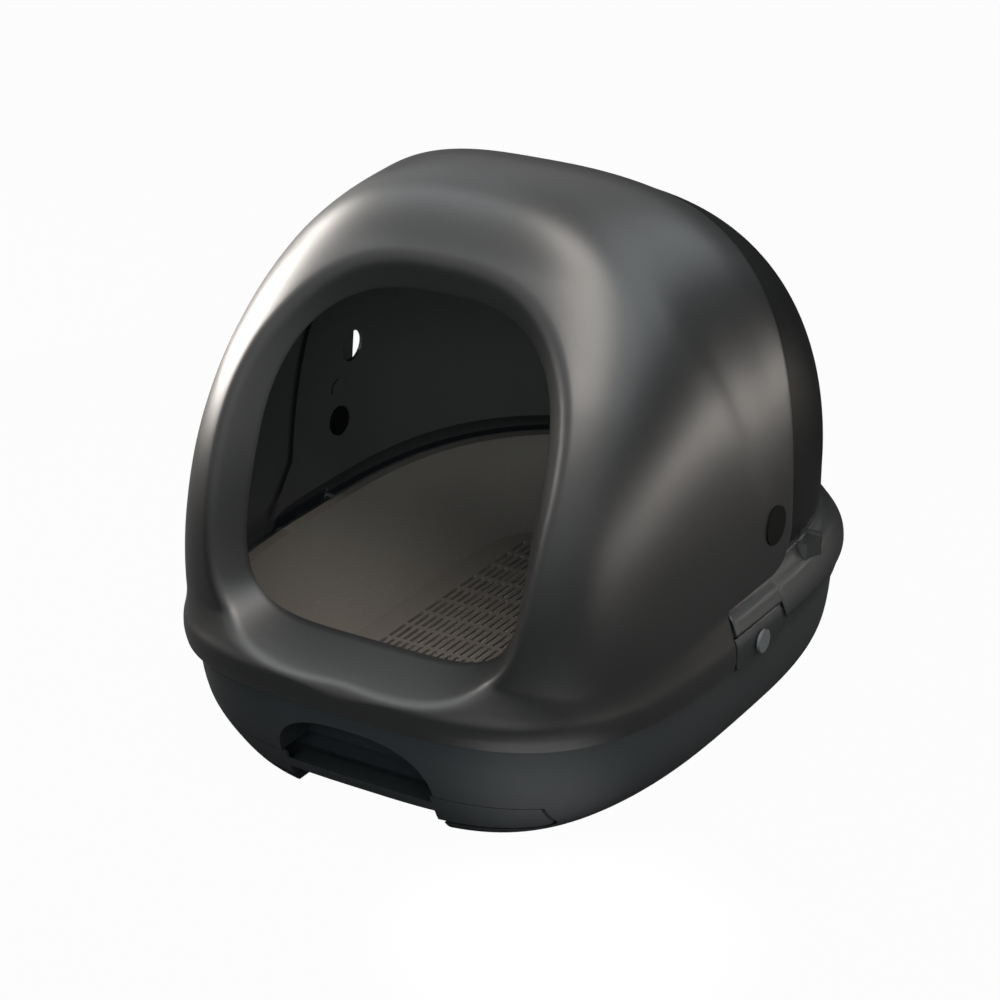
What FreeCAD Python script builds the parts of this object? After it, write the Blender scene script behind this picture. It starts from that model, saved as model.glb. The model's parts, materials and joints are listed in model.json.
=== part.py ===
import FreeCAD, Part
import math
import os

Vector = FreeCAD.Vector
doc = FreeCAD.newDocument("covered_litter_box")
sheet = doc.addObject("Spreadsheet::Sheet", "sizes")

# Named sizes in millimetres: X is width, Y runs from front to back, Z is up
size_table = (
    ("overrun", 30.0),
    ("move_gap", 0.5),
    ("turn_gap", 0.06),
    ("seat_gap", 0.02),
    # base tub
    ("tub_wall", 3.0),
    ("tub_middle", 12.0),
    ("tub_half_width", 195.2),
    ("tub_front", 261.5),
    ("tub_back", 237.0),
    ("tub_height", 104.0),
    ("tub_rim_width", 12.0),
    ("tub_rim_thickness", 3.0),
    ("slab_height", 9.0),
    ("channel_half_width", 64.0),
    ("channel_height", 5.0),
    ("finger_gap_depth", 40.0),
    ("niche_half_width", 63.0),
    ("niche_foot", 30.5),
    ("niche_height", 42.5),
    ("niche_depth", 46.0),
    ("niche_wall", 2.5),
    ("rail_width", 3.0),
    ("rail_height", 7.0),
    # litter basin
    ("basin_wall", 2.4),
    ("basin_floor", 48.0),
    ("basin_lip_width", 6.0),
    ("basin_lip_thickness", 2.5),
    ("basin_top_half_width", 180.5),
    ("basin_floor_half_width", 108.0),
    ("basin_floor_front", 186.0),
    ("basin_floor_back", 140.0),
    ("slot_length", 21.5),
    ("slot_width", 3.0),
    ("slot_pitch", 6.3),
    ("slot_row_pitch", 25.0),
    ("slot_field_half_width", 86.0),
    ("slot_field_front", 158.0),
    ("slot_field_back", 118.0),
    # drawer tray
    ("drawer_top", 34.0),
    ("drawer_half_width", 133.0),
    ("wing_gap", 2.0),
    ("wing_corner", 7.0),
    ("drawer_wall", 2.5),
    ("tray_half_width", 108.0),
    ("tray_back", 175.0),
    ("tray_front", 190.0),
    ("lip_half_width", 60.0),
    ("lip_foot", 20.0),
    ("lip_top", 27.0),
    ("lip_depth", 12.0),
    ("step_depth", 38.0),
    # absorbent pad
    ("pad_gap", 3.0),
    ("pad_thickness", 5.0),
    ("pad_lift", 0.3),
    ("pad_corner", 12.0),
    # hood, both halves
    ("hood_wall", 2.6),
    ("pivot_back", 13.0),
    ("pivot_height", 170.6),
    ("skirt_foot", 88.7),
    ("skirt_half_width", 198.5),
    ("skirt_front", 267.6),
    ("skirt_back", 243.0),
    ("skirt_height", 44.3),
    ("skirt_flare", 8.6),
    ("skirt_front_flare", 13.0),
    ("skirt_end", 58.0),
    # front hood
    ("front_half_width", 191.5),
    ("front_reach", 300.0),
    ("front_core", 30.0),
    ("front_axis_height", 96.0),
    ("front_edge_back", 41.0),
    ("front_edge_trim", 0.5),
    ("front_edge_foot", 132.0),
    ("front_corner_radius", 30.0),
    ("door_half_width", 112.8),
    ("door_middle", 239.0),
    ("door_rise", 110.0),
    ("door_drop", 115.0),
    ("door_foot_front", 207.5),
    ("door_head_front", 121.0),
    ("collar_half_width", 134.0),
    ("collar_rise", 133.0),
    ("collar_drop", 128.0),
    ("collar_foot_front", 250.0),
    ("collar_head_front", 124.0),
    ("lip_wall", 2.6),
    # rear hood
    ("rear_half_width", 186.0),
    ("rear_reach", 220.0),
    ("rear_flange_height", 38.3),
    ("rear_flare", 10.0),
    ("rear_back_flare", 22.0),
    ("rear_ledge_width", 4.7),
    ("rear_ledge_thickness", 2.6),
    ("arm_foot", 107.5),
    ("arm_front", 120.0),
    ("arm_front_height", 112.0),
    ("arm_mid_front", 95.0),
    ("arm_mid_height", 122.0),
    ("arm_back_front", 52.0),
    ("arm_back_height", 160.0),
    ("arm_side_front", 35.0),
    ("arm_side_height", 262.0),
    ("arm_top_height", 350.0),
    ("peep_radius", 12.5),
    ("peep_back", 31.8),
    ("peep_height", 226.5),
    ("step_front", 64.0),
    ("step_length", 26.0),
    ("step_foot", 112.0),
    ("step_rise", 24.0),
    ("step_notch", 3.0),
    ("step_half_width", 193.0),
    ("key_rise", 26.0),
    ("key_radius", 8.0),
    ("key_thickness", 1.6),
    # pivot pins
    ("pin_radius", 6.0),
    ("pin_head_radius", 14.5),
    ("pin_head_thickness", 1.0),
    ("pin_foot_radius", 11.5),
    ("pin_foot_thickness", 2.0),
    # latch tabs and studs
    ("tab_front", 56.0),
    ("tab_back", 12.0),
    ("tab_foot", 84.3),
    ("tab_top", 111.4),
    ("tab_thickness", 5.0),
    ("tab_corner", 9.0),
    ("tab_gap", 1.0),
    ("stud_front", 22.0),
    ("stud_height", 97.5),
    ("stud_radius", 8.5),
    ("stud_head", 2.2),
    ("stud_shank_radius", 4.0),
    ("stud_reach", 1.2),
    ("groove_depth", 1.7),
    ("groove_drop", 8.0),
)
for row, (name, value) in enumerate(size_table, 1):
    sheet.set("A%d" % row, name)
    sheet.set("B%d" % row, str(value))
    sheet.setAlias("B%d" % row, name)
doc.recompute()


class Sizes:
    pass


z = Sizes()
for name, value in size_table:
    setattr(z, name, float(sheet.get(name)))

quarter = math.pi / 2
loop_count = 48
arch_count = 14

# Section tables, front to back or foot to top, as shares of the sizes above
front_reach_shares = (0.999, 1.067, 1.122, 1.144, 1.077, 1.031, 1.009, 0.994, 0.98, 0.966, 0.954, 0.944, 0.938)
front_power_shares = (3.2, 2.94, 2.63, 2.75, 3.66, 4.38, 4.78, 4.96, 5.04, 4.99, 4.88, 4.66, 4.3)
rear_power_share = 2.6
skirt_power_shares = (3.6, 2.6)
skirt_level_shares = (0.0, 0.1, 0.22, 0.38, 0.53, 0.69, 0.85, 1.0)
skirt_flare_shares = (0.0, 0.1, 0.16, 0.1, -0.15, -0.45, -0.85, -1.5)
rear_level_shares = (0.0, 0.12, 0.25, 0.43, 0.61, 0.77, 0.9, 1.0)
rear_flare_shares = (0.0, 0.09, 0.14, 0.09, -0.2, -0.6, -1.0, -1.9)
tub_level_shares = (0.0, 0.048, 0.19, 0.385, 0.577, 0.846, 1.0)
tub_width_shares = (0.78, 0.815, 0.902, 0.973, 0.994, 1.0, 0.99)
tub_front_shares = (0.88, 0.902, 0.933, 0.964, 0.986, 1.0, 0.995)
tub_back_shares = (0.85, 0.88, 0.93, 0.97, 0.99, 1.0, 0.99)
tub_power_shares = (3.4, 2.6)
basin_level_shares = (0.0, 0.14, 0.43, 0.75, 1.0)
basin_width_shares = (0.0, 0.29, 0.63, 0.89, 1.0)
basin_front_shares = (0.0, 0.13, 0.3, 0.67, 1.0)
basin_ahead_power_shares = (6.0, 5.2, 4.2, 3.6, 3.4)
basin_behind_power_shares = (6.0, 5.0, 3.8, 3.0, 2.6)
door_power_shares = (2.7, 4.8)
collar_power_shares = (2.6, 4.0)
door_lean_share = 1.94
collar_lean_share = 1.54
collar_flare_share = 1.45
lip_slope_share = 1.4


def squircle(turn, power):
    across = abs(math.sin(turn))
    along = abs(math.cos(turn))
    return (across ** power + along ** power) ** (-1.0 / power)


def closed_wire(points):
    curve = Part.BSplineCurve()
    curve.interpolate(points, True)
    return Part.Wire(curve.toShape())


def plan_wire(half, front, back, level, powers):
    """Level outline with its own reach to the front and to the back of the tub's middle."""
    points = []
    for step in range(loop_count):
        turn = 4 * quarter * step / loop_count
        behind = math.cos(turn) >= 0
        power = powers[1] if behind else powers[0]
        reach = back if behind else front
        out = squircle(turn, power)
        points.append(Vector(half * out * math.sin(turn), z.tub_middle + reach * out * math.cos(turn), level))
    return closed_wire(points)


def slab(half, front, back, foot, height, powers):
    face = Part.Face(plan_wire(half, front, back, foot, powers))
    return face.extrude(Vector(0, 0, height))


def box(left, right, front, back, foot, top):
    return Part.makeBox(right - left, back - front, top - foot, Vector(left, front, foot))


def trough(half, front, back, foot, top, corner):
    """Box across the middle whose two lower long edges are rounded."""
    block = box(-half, half, front, back, foot, top)
    lower = [edge for edge in block.Edges
             if edge.BoundBox.ZMax < (foot + top) / 2 and edge.BoundBox.YLength > edge.BoundBox.XLength]
    return block.makeFillet(corner, lower)


def side_prism(points, half):
    """Solid across the whole width, drawn from the side as points of depth and height."""
    corners = [Vector(-half, depth, height) for depth, height in points]
    face = Part.Face(Part.makePolygon(corners + corners[:1]))
    return face.extrude(Vector(half + half, 0, 0))


def x_rod(radius, start, end, depth, height):
    return Part.makeCylinder(radius, end - start, Vector(start, depth, height), Vector(1, 0, 0))


def one_solid(shape):
    return shape.Solids[0] if len(shape.Solids) == 1 else shape


def add_feature(label, shape):
    feature = doc.addObject("Part::Feature", label)
    feature.Label = label
    feature.Shape = one_solid(shape)
    feature.Placement = FreeCAD.Placement()
    return feature


# Base tub: rounded bilge, seat rim, hand niche and drawer opening
def tub_loft(inset, foot):
    wires = []
    for level, width, front, back in zip(tub_level_shares, tub_width_shares, tub_front_shares, tub_back_shares):
        height = foot + (z.tub_height - foot) * level
        wires.append(plan_wire(z.tub_half_width * width - inset, z.tub_front * front - inset,
                               z.tub_back * back - inset, height, tub_power_shares))
    return Part.makeLoft(wires, True, False)


def niche_prism(grow, foot, back):
    points = []
    for step in range(loop_count // 2 + 1):
        turn = quarter - 2 * quarter * step / (loop_count // 2)
        out = squircle(turn, collar_power_shares[0])
        rise = z.niche_foot + (z.niche_height + grow) * out * math.cos(turn)
        points.append(Vector((z.niche_half_width + grow) * out * math.sin(turn), -z.tub_front - z.overrun, rise))
    arch = Part.BSplineCurve()
    arch.interpolate(points)
    right, left = points[0], points[-1]
    low_right = Vector(right.x, right.y, foot)
    low_left = Vector(left.x, left.y, foot)
    edges = [arch.toShape(), Part.makeLine(left, low_left), Part.makeLine(low_left, low_right),
             Part.makeLine(low_right, right)]
    return Part.Face(Part.Wire(edges)).extrude(Vector(0, back + z.tub_front + z.overrun, 0))


tub_outer = tub_loft(0, 0)
tub_inner = tub_loft(z.tub_wall, 0)
tub_far = z.tub_middle + z.tub_back + z.overrun
tub_near = z.tub_middle - z.tub_front - z.overrun
tub_side = z.tub_half_width + z.overrun
above_slab = box(-tub_side, tub_side, tub_near, tub_far, z.slab_height, z.tub_height + z.overrun)
tub = tub_outer.cut(tub_inner.common(above_slab))
rim_foot = z.tub_height - z.tub_rim_thickness
rim_half = z.tub_half_width * tub_width_shares[-1]
rim_front = z.tub_front * tub_front_shares[-1]
rim_back = z.tub_back * tub_back_shares[-1]
rim_inset = z.tub_wall / 2
rim = slab(rim_half - rim_inset, rim_front - rim_inset, rim_back - rim_inset, rim_foot, z.tub_rim_thickness,
           tub_power_shares)
rim = rim.cut(slab(rim_half - z.tub_rim_width, rim_front - z.tub_rim_width, rim_back - z.tub_rim_width,
                   rim_foot - z.overrun, z.tub_rim_thickness + z.overrun + z.overrun, tub_power_shares))
niche_back = z.tub_middle - z.tub_front + z.niche_depth
niche_shell_foot = z.drawer_top + z.move_gap
niche_shell = niche_prism(z.niche_wall, 0, niche_back + z.niche_wall).common(tub_outer).common(
    box(-tub_side, tub_side, tub_near, tub_far, niche_shell_foot, z.tub_height))
rail_inner = z.tray_half_width + z.move_gap
rail_back = z.tray_back - z.tray_front / 4
rails = [box(side - z.rail_width / 2, side + z.rail_width / 2, -z.tray_front + z.step_depth, rail_back,
             z.slab_height - z.channel_height / 2, z.slab_height + z.rail_height)
         for side in (-rail_inner - z.rail_width / 2, rail_inner + z.rail_width / 2)]
tub = tub.fuse([rim, niche_shell] + rails)
tub = tub.cut(niche_prism(0, 0, niche_back).common(
    box(-tub_side, tub_side, tub_near, tub_far, z.slab_height, z.tub_height)))
port_back = -z.tray_front + z.drawer_wall + z.wing_gap
tub = tub.cut(trough(z.drawer_half_width + z.wing_gap, tub_near, port_back, z.slab_height,
                     z.drawer_top + z.move_gap, z.wing_corner + z.wing_gap))
finger_back = z.tub_middle - z.tub_front * tub_front_shares[0] + z.finger_gap_depth
tub = tub.cut(box(-z.channel_half_width, z.channel_half_width, tub_near, finger_back, -z.overrun,
                  z.slab_height + z.move_gap))
tub = tub.cut(box(-z.channel_half_width, z.channel_half_width, tub_near, tub_far, -z.overrun, z.channel_height))
groove_half = z.stud_shank_radius + z.move_gap
groove_inner = z.tub_half_width - z.groove_depth
for left, right in ((-tub_side, -groove_inner), (groove_inner, tub_side)):
    tub = tub.cut(box(left, right, -z.stud_front - groove_half, -z.stud_front + groove_half,
                      z.stud_height - z.groove_drop, z.tub_height + z.overrun))
base_tub = add_feature("base_tub", tub)

# Litter basin: a bowl on a lip, with rows of narrow slots in its floor
basin_rim = z.tub_height
basin_top_front = rim_front - z.tub_rim_width - z.move_gap
basin_top_back = rim_back - z.tub_rim_width - z.move_gap


def basin_loft(inset, lift, top):
    wires = []
    tables = (basin_level_shares, basin_width_shares, basin_front_shares, basin_ahead_power_shares,
              basin_behind_power_shares)
    for level, width, front, ahead_power, behind_power in zip(*tables):
        half = z.basin_floor_half_width + (z.basin_top_half_width - z.basin_floor_half_width) * width
        ahead = z.basin_floor_front + (basin_top_front - z.basin_floor_front) * front
        behind = z.basin_floor_back + (basin_top_back - z.basin_floor_back) * width
        foot = z.basin_floor - z.basin_wall + lift
        wires.append(plan_wire(half - inset, ahead - inset, behind - inset, foot + (top - foot) * level,
                               (ahead_power, behind_power)))
    return Part.makeLoft(wires, True, False)


lip_top = basin_rim + z.basin_lip_thickness
bowl = basin_loft(0, 0, basin_rim)
lip = slab(z.basin_top_half_width + z.basin_lip_width, basin_top_front + z.basin_lip_width,
           basin_top_back + z.basin_lip_width, basin_rim, z.basin_lip_thickness, tub_power_shares)
basin = bowl.fuse(lip).cut(basin_loft(z.basin_wall, z.basin_wall, lip_top))
columns = int(z.slot_field_half_width // z.slot_pitch)
rows = int((z.slot_field_front + z.slot_field_back) // z.slot_row_pitch)
first_row = z.tub_middle - z.slot_field_front

def level_frame(half, front, back, middle, level):
    corners = [Vector(middle - half, front, level), Vector(middle + half, front, level),
               Vector(middle + half, back, level), Vector(middle - half, back, level)]
    return Part.makePolygon(corners + corners[:1])


floor_foot = z.basin_floor - z.basin_wall
plate_half = columns * z.slot_pitch + z.slot_pitch
plate_front = first_row - z.slot_pitch
plate_back = first_row + rows * z.slot_row_pitch + z.slot_pitch
outlines = [level_frame(plate_half, plate_front, plate_back, 0, floor_foot)]
for column in range(-columns, columns + 1):
    for line in range(rows):
        start = first_row + line * z.slot_row_pitch
        outlines.append(level_frame(z.slot_width / 2, start, start + z.slot_length, column * z.slot_pitch, floor_foot))
plate = Part.makeFace(outlines, "Part::FaceMakerBullseye").extrude(Vector(0, 0, z.basin_wall))
basin = basin.cut(box(-plate_half, plate_half, plate_front, plate_back, floor_foot - z.overrun,
                      z.basin_floor + z.overrun))


def off_border(face):
    middle = face.CenterOfMass
    across = abs(abs(middle.x) - plate_half)
    along = min(abs(middle.y - plate_front), abs(middle.y - plate_back))
    return min(across, along) > z.seat_gap


basin_skin = Part.makeShell([face for face in basin.Faces + plate.Faces if off_border(face)])
basin_skin.sewShape()
basin = Part.makeSolid(basin_skin)
grate_basin = add_feature("grate_basin", basin)

# Drawer: a tray whose front is cut from the same skin as the tub
drawer_foot = z.slab_height
wing_foot = drawer_foot + z.wing_gap
front_block = trough(z.drawer_half_width, tub_near, -z.tray_front + z.drawer_wall, wing_foot, z.drawer_top,
                     z.wing_corner)
tray_block = box(-z.tray_half_width, z.tray_half_width, -z.tray_front, z.tray_back, drawer_foot, z.drawer_top)
drawer = tub_outer.common(front_block).fuse(tray_block).removeSplitter()
inner_floor = drawer_foot + z.drawer_wall
tray_inner = z.tray_half_width - z.drawer_wall
wing_inner = z.drawer_half_width - z.drawer_wall
tray_hollow = box(-tray_inner, tray_inner, -z.tray_front + z.drawer_wall, z.tray_back - z.drawer_wall, inner_floor,
                  z.drawer_top + z.overrun)
hollow = trough(wing_inner, tub_near, -z.tray_front, wing_foot + z.drawer_wall, z.drawer_top + z.overrun,
                z.wing_corner - z.drawer_wall)
hollow = hollow.common(tub_loft(z.drawer_wall, 0))
step_back = z.tub_middle - z.tub_front + z.step_depth
step_wall = z.drawer_wall
hollow = hollow.cut(box(-z.lip_half_width - step_wall, z.lip_half_width + step_wall, tub_near,
                        step_back + step_wall, 0, z.lip_foot + step_wall))
drawer = drawer.cut(hollow.fuse(tray_hollow))
drawer = drawer.cut(box(-z.lip_half_width, z.lip_half_width, tub_near, step_back, 0, z.lip_foot))
drawer = drawer.cut(box(-z.lip_half_width, z.lip_half_width, tub_near, step_back - z.lip_depth, z.lip_top,
                        z.drawer_top + z.overrun))
drawer_tray = add_feature("drawer_tray", drawer)

# Absorbent pad on the tray floor
pad_body = doc.addObject("PartDesign::Body", "absorbent_pad")
pad_body.Label = "absorbent_pad"
pad_plane = [item for item in pad_body.Origin.OriginFeatures if item.Role == "XY_Plane"][0]
pad_sketch = pad_body.newObject("Sketcher::SketchObject", "pad_outline")
pad_sketch.AttachmentSupport = [(pad_plane, "")]
pad_sketch.MapMode = "FlatFace"
pad_half = tray_inner - z.pad_gap
pad_front = -z.tray_front + z.drawer_wall + z.pad_gap
pad_length = z.tray_back - z.drawer_wall - z.pad_gap - pad_front
pad_corners = [Vector(-pad_half, 0, 0), Vector(pad_half, 0, 0), Vector(pad_half, pad_length, 0),
               Vector(-pad_half, pad_length, 0)]
for start, end in zip(pad_corners, pad_corners[1:] + pad_corners[:1]):
    pad_sketch.addGeometry(Part.LineSegment(start, end), False)
doc.recompute()
pad_solid = pad_body.newObject("PartDesign::Pad", "pad_thickness")
pad_solid.Profile = pad_sketch
pad_solid.setExpression("Length", "sizes.pad_thickness")
doc.recompute()
pad_fillet = pad_body.newObject("PartDesign::Fillet", "pad_corners")
upright = ["Edge%d" % (index + 1) for index, edge in enumerate(pad_solid.Shape.Edges)
           if abs(edge.tangentAt(edge.FirstParameter).z) > 0.9]
pad_fillet.Base = (pad_solid, upright)
pad_fillet.setExpression("Radius", "sizes.pad_corner")
pad_body.Placement = FreeCAD.Placement(Vector(0, pad_front, inner_floor + z.pad_lift), FreeCAD.Rotation())


# Front hood: a dome of arches turned about a low rear axis, a flared skirt and a recessed doorway
def woven(rows):
    ways = []
    for points in zip(*rows):
        way = Part.BSplineCurve()
        way.interpolate(Points=list(points), Parameters=list(range(len(rows))))
        ways.append(way)
    arches = []
    for poles in zip(*[way.getPoles() for way in ways]):
        arch = Part.BSplineCurve()
        arch.interpolate(Points=list(poles), Parameters=list(range(len(ways))))
        arches.append(arch)
    skin = Part.BSplineSurface()
    skin.buildFromPolesMultsKnots([arch.getPoles() for arch in arches],
                                  ways[0].getMultiplicities(), arches[0].getMultiplicities(),
                                  ways[0].getKnots(), arches[0].getKnots(), False, False,
                                  ways[0].Degree, arches[0].Degree)
    return skin


def front_dome(inset):
    rows = []
    last = len(front_reach_shares) - 1
    for index, (reach_share, power) in enumerate(zip(front_reach_shares, front_power_shares)):
        turn = quarter + quarter * index / last
        reach = z.front_reach * reach_share - inset
        points = []
        for step in range(-arch_count, arch_count + 1):
            lean = quarter * step / arch_count
            out = squircle(lean, power)
            away = z.front_core + (reach - z.front_core) * out * math.cos(lean)
            points.append(Vector((z.front_half_width - inset) * out * math.sin(lean),
                                 z.front_edge_back + away * math.cos(turn),
                                 z.front_axis_height + away * math.sin(turn)))
        rows.append(points)
    skin = woven(rows)
    (u_first, u_last, v_first, v_last) = skin.bounds()
    faces = [skin.toShape(),
             Part.makeRuledSurface(skin.vIso(v_first).toShape(), skin.vIso(v_last).toShape())]
    for turn in (u_first, u_last):
        arch = skin.uIso(turn)
        chord = Part.makeLine(arch.value(v_last), arch.value(v_first))
        faces.append(Part.Face(Part.Wire([arch.toShape(), chord])))
    shell = Part.makeShell(faces)
    shell.sewShape()
    return Part.makeSolid(shell)


def skirt_loft(inset, height, levels, flares, side_flare, front_flare, back_flare, low):
    wires = []
    if low > 0:
        wires.append(plan_wire(z.skirt_half_width - inset, z.skirt_front - inset, z.skirt_back - inset,
                               z.skirt_foot - low, skirt_power_shares))
    for level, flare in zip(levels, flares):
        wires.append(plan_wire(z.skirt_half_width + side_flare * flare - inset,
                               z.skirt_front + front_flare * flare - inset,
                               z.skirt_back + back_flare * flare - inset,
                               z.skirt_foot + height * level, skirt_power_shares))
    return Part.makeLoft(wires, True, False)


def doorway_loop(half, rise, drop, foot_front, head_front, lean, powers, push):
    """Closed loop round the doorway: an outline from the front whose depth follows its height."""
    points = []
    for step in range(loop_count):
        turn = 4 * quarter * step / loop_count
        upper = math.cos(turn) >= 0
        out = squircle(turn, powers[0] if upper else powers[1])
        height = (rise if upper else drop) * out * math.cos(turn)
        share = max((height + drop) / (rise + drop), 0)
        depth = -foot_front + (foot_front - head_front) * share ** lean + push
        points.append(Vector(half * out * math.sin(turn), depth, z.door_middle + height))
    return points


def door_loop(grow, push):
    return doorway_loop(z.door_half_width + grow, z.door_rise + grow, z.door_drop + grow, z.door_foot_front,
                        z.door_head_front, door_lean_share, door_power_shares, push)


def collar_loop(grow):
    return doorway_loop(z.collar_half_width + grow, z.collar_rise + grow, z.collar_drop + grow,
                        z.collar_foot_front, z.collar_head_front, collar_lean_share, collar_power_shares, 0)


def flat_loop(points, depth):
    return [Vector(point.x, depth, point.z) for point in points]


def doorway_tool(grow, ends):
    door = door_loop(grow, 0)
    ridge = collar_loop(grow)
    outer = [inside + (edge - inside) * collar_flare_share for inside, edge in zip(door, ridge)]
    loops = [flat_loop(outer, z.tub_middle - z.skirt_front - z.overrun - z.overrun), outer] + ends
    return Part.makeLoft([closed_wire(loop) for loop in loops], True, True)


hood_side = z.skirt_half_width + z.overrun
hood_top = z.front_axis_height + z.front_reach + z.front_reach
front_near = z.tub_middle - z.skirt_front - z.overrun
outer_skirt = skirt_loft(0, z.skirt_height, skirt_level_shares, skirt_flare_shares, z.skirt_flare,
                         z.skirt_front_flare, z.rear_back_flare, 0)
inner_skirt = skirt_loft(z.hood_wall, z.skirt_height, skirt_level_shares, skirt_flare_shares, z.skirt_flare,
                         z.skirt_front_flare, z.rear_back_flare, z.overrun)
shrink = -z.lip_wall * lip_slope_share
grown_ends = [door_loop(-shrink, z.lip_wall / 2), door_loop(shrink, z.lip_wall),
              flat_loop(door_loop(shrink, 0), 0)]
doorway = doorway_tool(0, [door_loop(0, 0), flat_loop(door_loop(0, 0), 0)])
doorway_grown = doorway_tool(-shrink, grown_ends)
edge_back = z.front_edge_back - z.front_edge_trim
far_back = z.skirt_back + z.overrun
trim_foot = z.skirt_foot - z.overrun
corner_start = Vector(-hood_side, edge_back - z.front_corner_radius, z.front_edge_foot)
corner_end = Vector(-hood_side, edge_back, z.front_edge_foot + z.front_corner_radius)
corner_middle = Vector(-hood_side, edge_back - z.front_corner_radius * (1 - math.sin(quarter / 2)),
                       z.front_edge_foot + z.front_corner_radius * (1 - math.cos(quarter / 2)))
trim_outline = Part.makePolygon([
    corner_end, Vector(-hood_side, edge_back, hood_top), Vector(-hood_side, far_back, hood_top),
    Vector(-hood_side, far_back, trim_foot), Vector(-hood_side, -z.skirt_end, trim_foot),
    Vector(-hood_side, -z.skirt_end, z.front_edge_foot), corner_start])
corner = Part.Arc(corner_start, corner_middle, corner_end).toShape()
front_trim = Part.Face(Part.Wire(trim_outline.Edges + [corner])).extrude(Vector(hood_side + hood_side, 0, 0))
hollow = front_dome(z.hood_wall).fuse(inner_skirt).cut(doorway_grown)
front = front_dome(0).fuse(outer_skirt).cut(doorway).cut(front_trim).cut(hollow)
pin_bore = z.pin_radius + z.seat_gap
front = front.cut(x_rod(pin_bore, -hood_side, hood_side, z.pivot_back, z.pivot_height))
front_hood = add_feature("front_hood", front)


# Rear hood: a shell turned about the pivot axis over straight walls, a flange over the tub rim and two side arms
def rear_dome(inset):
    points = []
    for step in range(-arch_count - arch_count, arch_count + arch_count + 1):
        lean = quarter * step / (arch_count + arch_count)
        out = squircle(lean, rear_power_share)
        points.append(Vector((z.rear_half_width - inset) * out * math.sin(lean),
                             z.pivot_back + (z.rear_reach - inset) * out * math.cos(lean), z.pivot_height))
    arch = Part.BSplineCurve()
    arch.interpolate(points)
    behind = Part.Face(Part.Wire([arch.toShape(), Part.makeLine(points[-1], points[0])]))
    pivot = Vector(0, z.pivot_back, z.pivot_height)
    half_turn = math.degrees(2 * quarter)
    ahead = behind.copy()
    ahead.rotate(pivot, Vector(1, 0, 0), half_turn)
    down = Vector(0, 0, -z.pivot_height)
    return behind.revolve(pivot, Vector(1, 0, 0), half_turn).fuse([behind.extrude(down), ahead.extrude(down)])


rear_far = z.tub_middle + z.skirt_back + z.overrun
flange = skirt_loft(0, z.rear_flange_height, rear_level_shares, rear_flare_shares, z.rear_flare,
                    z.skirt_front_flare, z.rear_back_flare, 0)
flange_inner = skirt_loft(z.hood_wall, z.rear_flange_height, rear_level_shares, rear_flare_shares, z.rear_flare,
                          z.skirt_front_flare, z.rear_back_flare, z.overrun)
behind_skirt = box(-hood_side, hood_side, -z.skirt_end + z.tab_gap, rear_far, 0, hood_top)
over_rim = box(-hood_side, hood_side, front_near, rear_far, z.arm_foot, hood_top)
rear_outer = rear_dome(0).common(over_rim).fuse(flange.common(behind_skirt))
step_block = box(-z.step_half_width, z.step_half_width, z.step_front, z.step_front + z.step_length, z.step_foot,
                 z.step_foot + z.step_rise)
notch_front = z.step_front + z.step_notch
notch_back = z.step_front + z.step_length - z.step_notch
step_block = step_block.cut(box(-hood_side, hood_side, notch_front, notch_back,
                                z.step_foot + z.step_rise - z.step_notch, hood_top))
rear_outer = rear_outer.fuse(step_block)
rear = rear_outer.cut(rear_dome(z.hood_wall).fuse(flange_inner))
ledge_inset = z.hood_wall / 2
ledge_half = z.skirt_half_width - ledge_inset
ledge = slab(ledge_half, z.skirt_front - ledge_inset, z.skirt_back - ledge_inset, z.tub_height,
             z.rear_ledge_thickness, skirt_power_shares)
ledge_inner_half = rim_half - z.rear_ledge_width
ledge = ledge.cut(slab(ledge_inner_half, rim_front - z.rear_ledge_width, rim_back - z.rear_ledge_width,
                       z.tub_height - z.overrun, z.overrun + z.overrun, tub_power_shares))
rear = rear.fuse(ledge.common(behind_skirt))
arm_trim = side_prism([(-z.arm_front, z.arm_foot - z.overrun), (-z.arm_front, z.arm_front_height),
                       (-z.arm_mid_front, z.arm_mid_height), (-z.arm_back_front, z.arm_back_height),
                       (-z.arm_side_front, z.arm_side_height), (0, z.arm_top_height), (0, hood_top),
                       (front_near - z.rear_reach, hood_top), (front_near - z.rear_reach, z.arm_foot - z.overrun)],
                      hood_side)
rear = rear.cut(arm_trim)
tab_window_inner = rim_half - z.rear_ledge_width - z.tab_gap
tab_window_top = z.tab_top + z.tab_gap
for left, right in ((-hood_side, -tab_window_inner), (tab_window_inner, hood_side)):
    rear = rear.cut(box(left, right, -z.tab_front - z.tab_gap, z.tab_back + z.tab_gap, 0, tab_window_top))
rear = rear.cut(x_rod(z.peep_radius, -hood_side, hood_side, z.peep_back, z.peep_height))
key_outer = z.rear_half_width - z.hood_wall / 2
key_inner = z.rear_half_width - z.hood_wall - z.key_thickness
for start, end in ((-key_outer, -key_inner), (key_inner, key_outer)):
    rear = rear.fuse(x_rod(z.key_radius, start, end, z.pivot_back, z.pivot_height + z.key_rise))
rear = rear.cut(x_rod(z.pin_radius + z.turn_gap, -hood_side, hood_side, z.pivot_back, z.pivot_height))
rear_hood = add_feature("rear_hood", rear)


# Pivot pins, latch tabs and latch studs, one of each per side
def rod(name, radius, start, length, depth, height):
    """Cylinder along X with every size taken from the sheet."""
    item = doc.addObject("Part::Cylinder", name)
    item.setExpression("Radius", radius)
    item.setExpression("Height", length)
    item.setExpression("Placement.Base.x", start)
    item.setExpression("Placement.Base.y", depth)
    item.setExpression("Placement.Base.z", height)
    item.Placement.Rotation = FreeCAD.Rotation(Vector(0, 1, 0), math.degrees(quarter))
    return item


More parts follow.
